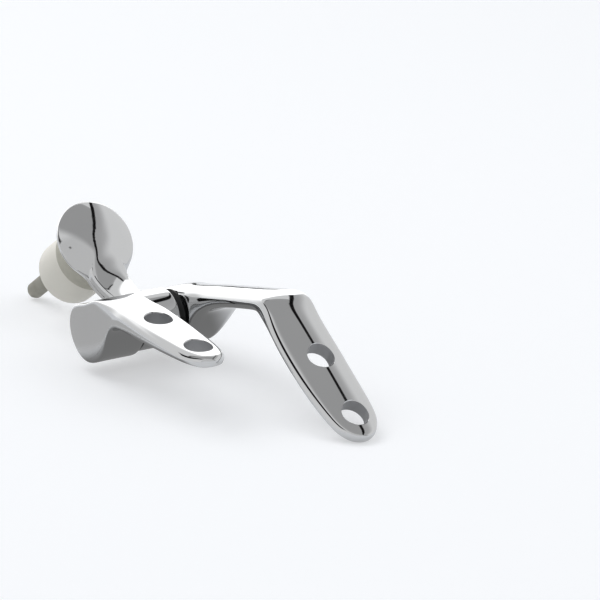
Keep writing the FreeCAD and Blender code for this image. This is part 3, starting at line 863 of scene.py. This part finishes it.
def strip(name, start, end, width, value, below=0.03):
    """Dark band along one border of the overhead cards, which fades out past its ends."""
    fade, soft = 0.05, width / 5
    start, end = Vector(start), Vector(end)
    along = (end - start).normalized() * fade
    across = along.orthogonal().normalized() * width / 2
    corners = [start - along - across, end + along - across, end + along + across, start - along + across]
    overhead(name, corners, below, value, (soft, fade, soft, fade))


def pale_where_seen(tree):
    """Socket that is 1 for camera, glossy and transmission rays."""
    nodes, links = tree.nodes, tree.links
    path = nodes.new("ShaderNodeLightPath")
    either = nodes.new("ShaderNodeMath")
    either.operation = "MAXIMUM"
    any_ray = nodes.new("ShaderNodeMath")
    any_ray.operation = "MAXIMUM"
    links.new(path.outputs["Is Camera Ray"], either.inputs[0])
    links.new(path.outputs["Is Glossy Ray"], either.inputs[1])
    links.new(either.outputs["Value"], any_ray.inputs[0])
    links.new(path.outputs["Is Transmission Ray"], any_ray.inputs[1])
    return any_ray.outputs["Value"]


def studio_world(scene):
    """White surround for what is seen, and a softer fill for what is lit."""
    world = bpy.data.worlds.new("studio")
    scene.world = world
    world.use_nodes = True
    tree = world.node_tree
    nodes, links = tree.nodes, tree.links
    nodes.clear()
    fill = nodes.new("ShaderNodeBackground")
    fill.inputs["Color"].default_value = (0.93, 0.96, 1.0, 1)
    fill.inputs["Strength"].default_value = 0.6
    seen = nodes.new("ShaderNodeBackground")
    seen.inputs["Color"].default_value = (1, 1, 1, 1)
    seen.inputs["Strength"].default_value = 1.0
    mix = nodes.new("ShaderNodeMixShader")
    links.new(pale_where_seen(tree), mix.inputs["Fac"])
    links.new(fill.outputs["Background"], mix.inputs[1])
    links.new(seen.outputs["Background"], mix.inputs[2])
    links.new(mix.outputs["Shader"], nodes.new("ShaderNodeOutputWorld").inputs["Surface"])


def table_material():
    """White table that keeps a soft shadow."""
    material = bpy.data.materials.new("white_table")
    material.use_nodes = True
    tree = material.node_tree
    nodes, links = tree.nodes, tree.links
    nodes.clear()
    paper = nodes.new("ShaderNodeBsdfDiffuse")
    paper.inputs["Color"].default_value = (0.9, 0.91, 0.93, 1)
    bright = nodes.new("ShaderNodeEmission")
    bright.inputs["Strength"].default_value = 1.32
    share = nodes.new("ShaderNodeMath")
    share.operation = "MULTIPLY"
    share.inputs[1].default_value = 0.3
    mix = nodes.new("ShaderNodeMixShader")
    links.new(pale_where_seen(tree), share.inputs[0])
    links.new(share.outputs["Value"], mix.inputs["Fac"])
    links.new(paper.outputs["BSDF"], mix.inputs[1])
    links.new(bright.outputs["Emission"], mix.inputs[2])
    links.new(mix.outputs["Shader"], nodes.new("ShaderNodeOutputMaterial").inputs["Surface"])
    return material


def soft_lamp(name, place, size, power):
    """Large soft lamp that looks at the hinge."""
    lamp = bpy.data.lights.new(name, "AREA")
    lamp.shape = "RECTANGLE"
    lamp.size, lamp.size_y = size
    lamp.energy = power
    obj = bpy.data.objects.new(name, lamp)
    bpy.context.scene.collection.objects.link(obj)
    obj.location = place
    obj.rotation_mode = "QUATERNION"
    obj.rotation_quaternion = (-Vector(place)).to_track_quat("-Z", "Y")
    obj.visible_glossy = False


def ceiling_cards():
    """Cards overhead that the chrome reflects: a grey ceiling, a light to its right and dark bands at their borders."""
    grey = [(-0.57, 0.52), (-0.57, -0.06), (0.62, -2.32), (1.0, -2.32), (1.0, 0.0), (0.5, 0.52)]
    overhead("grey_ceiling", grey, 0.0, 0.52, (0, 0.25, 0, 0, 0.08, 0.03))
    right = [(0.95, 0.8), (0.41, -0.5), (0.38, -1.1), (0.75, -2.4), (6, -5), (6, 0.8)]
    overhead("right_shade", right, 0.01, 0.58, (0, 0, 0, 0, 0, 0))
    overhead("right_light", right, 0.02, 1.0, (0.4, 0.8, 1.2, 0, 0, 0))
    border = [(0.97, 0.85), (0.74, 0.36), (0.585, 0.02), (0.49, -0.28), (0.43, -0.58), (0.41, -0.88), (0.44, -1.2),
              (0.53, -1.6), (0.66, -2.0)]
    widths = [0.1, 0.11, 0.125, 0.14, 0.15, 0.15, 0.15, 0.15]
    for step, (start, end, width) in enumerate(zip(border, border[1:], widths)):
        strip("right_band_%d" % step, start, end, width, BAND_DARK, 0.03 + 0.005 * (step % 2))
    mark = [(-0.53, -0.98), (-0.44, -0.98), (-0.44, -0.84), (-0.53, -0.84)]
    overhead("front_mark", mark, 0.03, 0.12, (0.03, 0.03, 0.03, 0.03))
    strip("left_band", (-0.745, 0.75), (-0.745, -0.5), 0.5, BAND_DARK)
    left = [(-1.8, -0.35), (-1.8, -2.0), (0.7, -2.0), (0.4, -1.0), (-0.2, -0.35)]
    overhead("front_left", left, -0.01, WALL_PALE, (0.5, 0, 0, 0, 0.3))
    strip("back_band", (-0.55, 0.443), (0.41, 0.497), 0.05, 0.02)


def wall_cards():
    """Cards that stand round the hinge: a pale wall in front with a dark band at its border, and a light behind."""
    far, wall, back = -2.3, -2.31, 0.42
    top = [(0.66, far, 1.3), (0.82, far, 0.64), (1.0, far, 0.64), (0.83, far, 1.3)]
    low = [(0.82, far, 0.66), (1.2, far, 0.0), (1.46, far, 0.0), (1.0, far, 0.66)]
    card("front_band_top", top, BAND_DARK, (0.03, 0, 0.03, 0))
    card("front_band_low", low, BAND_DARK, (0.03, 0, 0.03, 0))
    front = [(-3.0, wall, 0), (1.2, wall, 0), (0.84, wall, 0.64), (0.7, wall, 1.25), (-3.0, wall, 1.25)]
    card("front_wall", front, WALL_PALE, (0, 0, 0, 0, 0.8))
    behind = [(-0.42, back, 0), (0.66, back, 0), (0.66, back, 0.64), (-0.42, back, 0.48)]
    card("back_light", behind, 2.3, (0, 0.12, 0.08, 0.45))
    right = [(0.12, 0.27, 0), (0.3, 0.1, 0), (0.3, 0.1, 0.012), (0.12, 0.27, 0.012)]
    card("far_band", right, 0.12, (0, 0.05, 0.004, 0.05))


def table_cards():
    """Shades just above the table, under the hinge and to its left, that the chrome reflects."""
    low, lower = 0.0004, 0.0003
    under = [(-0.06, -0.04, low), (0.035, -0.04, low), (0.035, 0.03, low), (-0.06, 0.03, low)]
    card("under_shade", under, 0.27, (0.016, 0.012, 0.014, 0.036))
    left = [(-0.11, 0.0, lower), (-0.02, 0.02, lower), (-0.01, 0.1, lower), (-0.1, 0.11, lower)]
    card("left_table_shade", left, 0.66, (0.02, 0.015, 0.02, 0.03))


def place_camera(scene):
    """Camera at the place, turn and focal length of the stage's settings."""
    stage = scene.hinge_stage
    lens = bpy.data.cameras.new("camera")
    lens.lens = stage.lens
    lens.sensor_width = 36.0
    lens.clip_start = 0.01
    lens.clip_end = 50.0
    camera = bpy.data.objects.new("camera", lens)
    scene.collection.objects.link(camera)
    turn = Matrix.Rotation(stage.azimuth, 4, "Z") @ Matrix.Rotation(math.pi / 2 - stage.elevation, 4, "X")
    camera.matrix_world = Matrix.Translation(stage.camera) @ turn @ Matrix.Rotation(stage.roll, 4, "Z")
    scene.camera = camera


class HINGE_OT_stage(Operator):
    """Set the table, surround, lamps, reflection cards and camera"""

    bl_idname = "hinge.stage"
    bl_label = "Stage"

    def execute(self, context):
        scene = context.scene
        scene.view_settings.view_transform = "Standard"
        bm = bmesh.new()
        bmesh.ops.create_grid(bm, x_segments=1, y_segments=1, size=4.0)
        table = stage_object("table", bm)
        table.data.materials.append(table_material())
        studio_world(scene)
        soft_lamp("key_lamp", (-0.35, 0.75, 1.3), (1.2, 1.0), 8.0)
        soft_lamp("fill_lamp", (0.7, -0.9, 1.0), (1.0, 1.0), 3.0)
        ceiling_cards()
        wall_cards()
        table_cards()
        place_camera(scene)
        return {"FINISHED"}


PIECES = ("seat_flange", "lid_flange", "pillar", "stud", "washer_and_spacer", "pivot", "stage")


class HINGE_PT_panel(Panel):
    """Sizes, colours and pieces of the hinge"""

    bl_idname = "HINGE_PT_panel"
    bl_label = "Seat Hinge"
    bl_space_type = "VIEW_3D"
    bl_region_type = "UI"
    bl_category = "Hinge"

    def draw(self, context):
        layout = self.layout
        for group in (context.scene.hinge_sizes, context.scene.hinge_colours, context.scene.hinge_stage):
            box = layout.box()
            for name in group.__annotations__:
                box.prop(group, name)
        for piece in PIECES:
            layout.operator("hinge." + piece)


CLASSES = (
    HingeSizes, HingeColours, HingeStage, HINGE_OT_seat_flange, HINGE_OT_lid_flange, HINGE_OT_pillar, HINGE_OT_stud,
    HINGE_OT_washer_and_spacer, HINGE_OT_pivot, HINGE_OT_stage, HINGE_PT_panel,
)


def register():
    for cls in CLASSES:
        bpy.utils.register_class(cls)
    bpy.types.Scene.hinge_sizes = PointerProperty(type=HingeSizes)
    bpy.types.Scene.hinge_colours = PointerProperty(type=HingeColours)
    bpy.types.Scene.hinge_stage = PointerProperty(type=HingeStage)


def unregister():
    del bpy.types.Scene.hinge_stage
    del bpy.types.Scene.hinge_colours
    del bpy.types.Scene.hinge_sizes
    for cls in reversed(CLASSES):
        bpy.utils.unregister_class(cls)


def main():
    """Makes every piece and the stage."""
    register()
    for piece in PIECES:
        getattr(bpy.ops.hinge, piece)()


if __name__ == "__main__":
    main()
